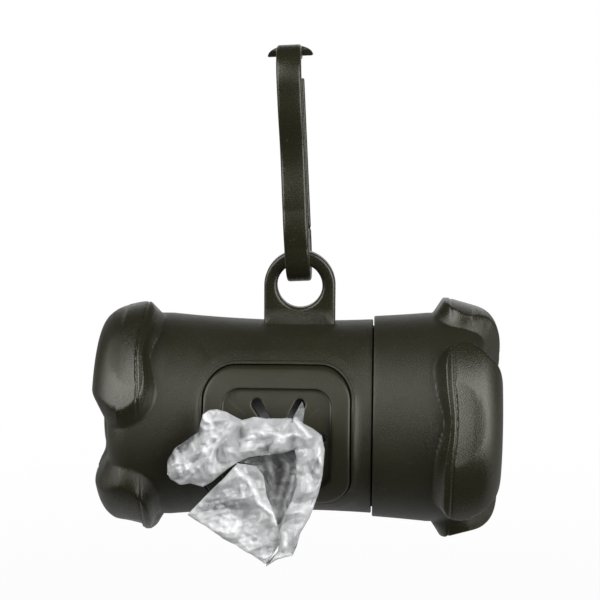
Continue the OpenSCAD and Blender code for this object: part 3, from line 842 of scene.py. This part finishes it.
panel_left = [(-10.8, -26.5, -3.3), (-13.3, -27, -6.1), (-16.6, -27.5, -9.4), (-19.9, -28, -12.8),
              (-16.9, -28, -14.6), (-14.3, -28, -16.5), (-11.7, -28, -18.3), (-8.0, -28, -20.2),
              (-5.3, -27.6, -22.1)]
panel_right = [(-10.6, -26.5, -3.0), (-7.1, -26, -3.7), (-5.6, -26, -5.6), (-5.1, -26.5, -8.5),
               (-4.0, -27, -11.4), (-3.1, -27.5, -13.9), (-2.4, -27.8, -16.1), (-2.6, -27.8, -18.7),
               (-4.9, -27.4, -22.2)]
mouth_left = [(-10.9, -25, -3.1), (-8.0, -23, -4.3), (-6.0, -23, -6.2), (-5.3, -24, -9.0),
              (-4.2, -25, -11.8), (-3.2, -26.5, -14.5), (-2.8, -27, -17.4)]
mouth_right = [(1.1, -25, -0.1), (1.1, -24, -2.9), (1.1, -24.5, -7.4), (0.3, -25.5, -10.2),
               (-0.9, -26.5, -13.0), (-1.8, -27, -15.1), (-2.3, -27.2, -17.7)]
throat_left = [(-9.5, -24.6, -2.6), (-5.0, -21.5, 0.4), (-3.6, -19.3, 0.8), (-3.4, -14.0, -4.2)]
throat_right = [(0.6, -24.6, -0.4), (-1.8, -21.5, 0.2), (-3.0, -19.3, 0.2), (-3.0, -14.0, -4.6)]
spike_left = [(-0.6, -24.6, 4.6), (0.6, -21.6, 6.4), (1.2, -19.4, 7.3)]
spike_right = [(1.7, -24.6, 4.4), (1.9, -21.6, 6.2), (1.5, -19.4, 7.1)]
# Named folds: half width, how much whiter the film is painted there, and the line in x and z.
# The whitening is partly layered film and partly painted highlight; below 0 it is painted crease
# shade.
folds = [(0.9, 0.6, [(-16.7, 6.1), (-14.5, 2.4), (-16.7, -0.7)]),
         (0.8, 0.6, [(-22.1, -1.8), (-21.2, -5.6), (-19.7, -3.3)]),
         (0.6, 0.3, [(-11.5, 4.6), (-14.5, 1.2), (-15.6, -2.5)]),
         (1.3, 0.5, [(-9.3, 0.5), (-4.9, 3.9)]),
         (0.5, 0.45, [(-10.1, 1.6), (-4.9, 2.6), (1.8, 2.7)]),
         (0.5, 0.7, [(0.3, 5.0), (3.3, 2.4)]),
         (1.1, 0.5, [(-3.0, 1.8), (-2.2, 1.8)]),
         (1.4, 0.5, [(1.4, -3.5), (2.2, -3.5)]),
         (1.1, 0.5, [(3.6, -7.2), (3.8, -8.4)]),
         (1.5, 0.6, [(0.5, -12.2), (3.1, -11.0)]),
         (0.7, 0.6, [(-1.5, -16.1), (-1.1, -19.9)]),
         (0.6, 0.5, [(4.8, 0.1), (5.3, -2.9)]),
         (0.7, 0.7, [(-10.8, -4.0), (-7.8, -7.1), (-6.3, -10.5), (-4.1, -12.3), (-3.0, -14.6)]),
         (0.6, 0.5, [(-9.7, -7.4), (-9.3, -9.3)]),
         (2.6, 0.4, [(-17.1, -14.6), (-12.7, -13.9), (-8.9, -17.6), (-6.3, -21.8)]),
         (0.8, 0.4, [(-4.9, -20.6), (-1.9, -20.3)]),
         (1.2, -0.6, [(-23.6, -3.0), (-18.0, 3.0)]),
         (1.8, -0.25, [(-16.4, -11.6), (-10.8, -10.8), (-6.3, -15.0)]),
         (0.9, 0.3, [(-5.0, -3.0), (-3.9, -8.5), (-3.7, -14.6)]),
         (0.9, 0.35, [(-2.6, -2.2), (-1.1, -5.6), (-2.6, -9.6), (-3.0, -13.6)]),
         (0.7, 0.3, [(0.4, -5.4), (-0.9, -9.6), (-2.5, -13.9)])]
fold_height = 0.8
chance = np.random.RandomState(7)


def drawn_line(points, count):
    """A line through points with even steps along it."""
    points = np.array(points, float)
    along = np.concatenate([[0], np.cumsum(np.linalg.norm(np.diff(points, axis=0), axis=1))])
    want = np.linspace(0, along[-1], count)
    return np.stack([np.interp(want, along, points[:, k]) for k in range(points.shape[1])], axis=-1)


def crumple(a, b, sizes):
    """Heights of crumpled film over a grid: flat facets that meet in sharp folds."""
    height = np.zeros_like(a)
    for size, depth, tilt in sizes:
        for _ in range(3):
            turn = tilt + chance.uniform(-1.1, 1.1)
            wander = 0.3 * np.sin((a - b) * chance.uniform(0.2, 0.7) + chance.uniform(0, 6))
            line = (a * math.cos(turn) + b * math.sin(turn)) / size / chance.uniform(0.7, 1.5)
            height += depth * np.abs((line + wander + chance.uniform(0, 1)) % 1 - 0.5)
    return height


def fold_lines(x, z):
    """How much whiter the named folds paint the film, partly for film lying over itself and
    partly as painted highlight; folds below 0 paint crease shade.
    """
    total = np.zeros_like(x)
    for width, strength, line in folds:
        line = drawn_line(line, 40)
        off = np.hypot(x[..., None] - line[:, 0], z[..., None] - line[:, 1]).min(axis=-1)
        total += strength * np.clip(1.25 * (1 - off / width), 0, 1)
    return total * (0.75 + 0.35 * np.sin(2.9 * x + 1.1 * z) * np.sin(2.1 * z - 0.9 * x))


def film_patch(sheet, one, other, steps, swell, sizes, base_white):
    """Adds crumpled film between two edges, which swells out of the slot plate's side."""
    a, b = drawn_line(one, steps[0]), drawn_line(other, steps[0])
    share = np.linspace(0, 1, steps[1])
    grid = a[:, None] * (1 - share[None, :, None]) + b[:, None] * share[None, :, None]
    middle = np.sin(np.pi * share)[None, :] ** 0.6
    ends = np.clip(np.sin(np.pi * np.linspace(0, 1, steps[0])) * 6, 0.2, 1)[:, None]
    heights = crumple(grid[..., 0], grid[..., 2], sizes)
    heights -= heights.mean()
    named = fold_lines(grid[..., 0], grid[..., 2])
    lift = swell * middle * ends + heights * (0.3 + 0.7 * middle) + fold_height * named
    grid[..., 1] -= lift
    grid[..., 2] += 0.3 * (lift - swell * middle) * middle
    loops = [sheet.ring(row) for row in grid]
    # Whiteness: painted shade for patches in hollows, painted highlight along the named folds.
    sheet.layers += list(base_white + named)
    for below, above in zip(loops, loops[1:]):
        sheet.strip(below, above, closed=False)


bag = Skin()
# Edges, steps along and across, swell, crumples as (size, depth, tilt), and whiteness; the
# mouth, throat and spike get less whiteness as painted shade of the hollows they lie in.
for patch in [
        (collar_outer, collar_inner, (260, 64), 2.0,
         [(8, 2.6, 0.3), (3.6, 1.1, 1.4), (1.6, 0.25, 0.8)], 0.42),
        (collar_outer, collar_inner, (130, 30), -0.8, [(6, 1.2, 1.0), (2.5, 0.4, 0.4)], 0.42),
        (panel_left, panel_right, (190, 72), 0.6,
         [(9, 2.6, 0.9), (3.6, 0.9, 0.3), (1.6, 0.2, 1.2)], 0.38),
        (mouth_left, mouth_right, (120, 60), -1.6, [(5, 1.0, 1.5), (2, 0.4, 1.4)], 0.14),
        (throat_left, throat_right, (80, 40), 0.0, [(3, 0.5, 1.5)], 0.3),
        (spike_left, spike_right, (30, 12), 0.0, [(1.5, 0.2, 1.5)], 0.12)]:
    film_patch(bag, *patch)
bag_piece = bag.piece("pulled_film", "bag", film_material, 25)
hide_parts("pulled_bag")
